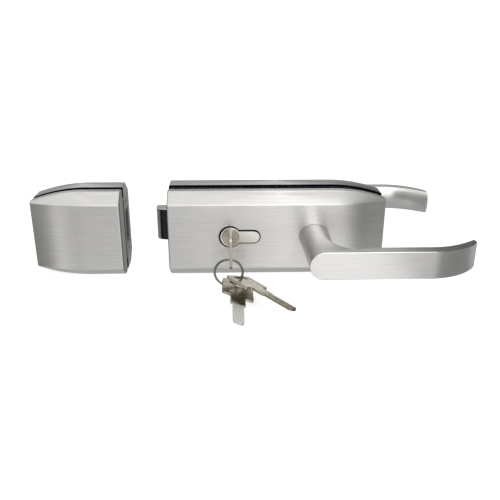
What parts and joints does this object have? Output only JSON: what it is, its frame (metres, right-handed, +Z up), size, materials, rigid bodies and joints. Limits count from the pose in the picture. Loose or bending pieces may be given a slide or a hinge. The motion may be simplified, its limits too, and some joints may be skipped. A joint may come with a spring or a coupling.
{
  "type": "glass door lever lock with keeper",
  "caption": "Lever lock clamped to a glass door's edge, with a euro cylinder, keys on a ring, a lever on each side and a matching keeper for the fixed pane.",
  "frame": {"origin": "on the front clamping pad's glass face, on the lock's centreline, 39 mm right of the lever axis seen from the front", "axes": "+X along the lock from the latch end to the levers' tips, +Y from the front half through the glass to the rear half, +Z up"},
  "size_m": [0.3588, 0.209, 0.0748],
  "materials": {
    "brushed_stainless": "brushed along the length",
    "polished_steel": "polished",
    "satin_nickel": "satin nickel plating",
    "zinc_casting": "as cast, matt",
    "plated_steel": "zinc plated",
    "black_rubber": "matt",
    "black_nylon": "moulded, matt",
    "spring_steel": "drawn wire"
  },
  "bodies": {
    "body": {"case_lid": "plated_steel", "clamp_screw_1": "plated_steel", "clamp_screw_2": "plated_steel", "clamp_screw_3": "plated_steel", "clamp_screw_4": "plated_steel", "cylinder_body": "satin_nickel", "cylinder_screw": "plated_steel", "faceplate": "brushed_stainless", "faceplate_screw_lower": "plated_steel", "faceplate_screw_upper": "plated_steel", "front_bush": "black_nylon", "front_clamp_plate": "zinc_casting", "front_cover": "brushed_stainless", "front_pad": "black_rubber", "keeper_clamp_screw_1": "plated_steel", "keeper_clamp_screw_2": "plated_steel", "keeper_front_cover": "brushed_stainless", "keeper_front_pad": "black_rubber", "keeper_front_plate": "zinc_casting", "keeper_rear_cover": "brushed_stainless", "keeper_rear_pad": "black_rubber", "latch_spring": "spring_steel", "lever_return_spring": "spring_steel", "lid_screw_1": "plated_steel", "lid_screw_2": "plated_steel", "lid_screw_3": "plated_steel", "lid_screw_4": "plated_steel", "lock_case": "zinc_casting", "rear_bush": "black_nylon", "rear_cover": "brushed_stainless", "rear_pad": "black_rubber", "strike_box": "zinc_casting", "strike_plate": "brushed_stainless", "strike_screw_lower": "plated_steel", "strike_screw_upper": "plated_steel"},
    "levers": {"front_lever": "brushed_stainless", "rear_lever": "brushed_stainless", "spindle": "plated_steel", "follower": "zinc_casting", "front_grub_screw": "plated_steel", "rear_grub_screw": "plated_steel"},
    "latch": {"latch_bolt": "polished_steel"},
    "plug": {"front_plug": "satin_nickel", "cylinder_cam": "plated_steel"},
    "inner_plug": {"rear_plug": "satin_nickel"},
    "key": {"key_in_lock": "satin_nickel"},
    "ring": {"key_ring": "plated_steel"},
    "spare_a": {"spare_key_a": "satin_nickel"},
    "spare_b": {"spare_key_b": "satin_nickel"}
  },
  "joints": [
    {"name": "lever_turn", "type": "hinge", "parent": "body", "child": "levers", "pos_m": [-0.039, 0, 0], "axis": [0, 1, 0], "range_deg": [0, 45], "stiffness_Nm_per_rad": 0.6, "springref_deg": -57.3},
    {"name": "latch_slide", "type": "slide", "parent": "body", "child": "latch", "axis": [1, 0, 0], "range_m": [0, 0.012], "stiffness_N_per_m": 200, "springref_m": -0.02, "deforming": ["latch_spring"]},
    {"name": "plug_turn", "type": "hinge", "parent": "body", "child": "plug", "pos_m": [-0.1095, 0, 0], "axis": [0, 1, 0], "range_deg": [0, 255]},
    {"name": "inner_plug_turn", "type": "hinge", "parent": "body", "child": "inner_plug", "pos_m": [-0.1095, 0, 0], "axis": [0, 1, 0], "range_deg": [0, 255]},
    {"name": "key_pull", "type": "slide", "parent": "plug", "child": "key", "axis": [0, -1, 0], "range_m": [0, 0.027]},
    {"name": "ring_swing", "type": "hinge", "parent": "key", "child": "ring", "pos_m": [-0.1095, -0.0504, -0.00603], "axis": [1, 0, 0], "range_deg": [-75, 25]},
    {"name": "spare_a_swing", "type": "hinge", "parent": "ring", "child": "spare_a", "pos_m": [-0.10703, -0.0504, -0.02744], "axis": [0.9245, 0, 0.3811], "range_deg": [-22, 12]},
    {"name": "spare_b_swing", "type": "hinge", "parent": "ring", "child": "spare_b", "pos_m": [-0.1016, -0.0504, -0.02268], "axis": [0.5, 0, 0.866], "range_deg": [-20, 26]}
  ],
  "couplings": [
    {"joint": "latch_slide", "follows": "lever_turn", "m_per_rad": 0.015279}
  ]
}
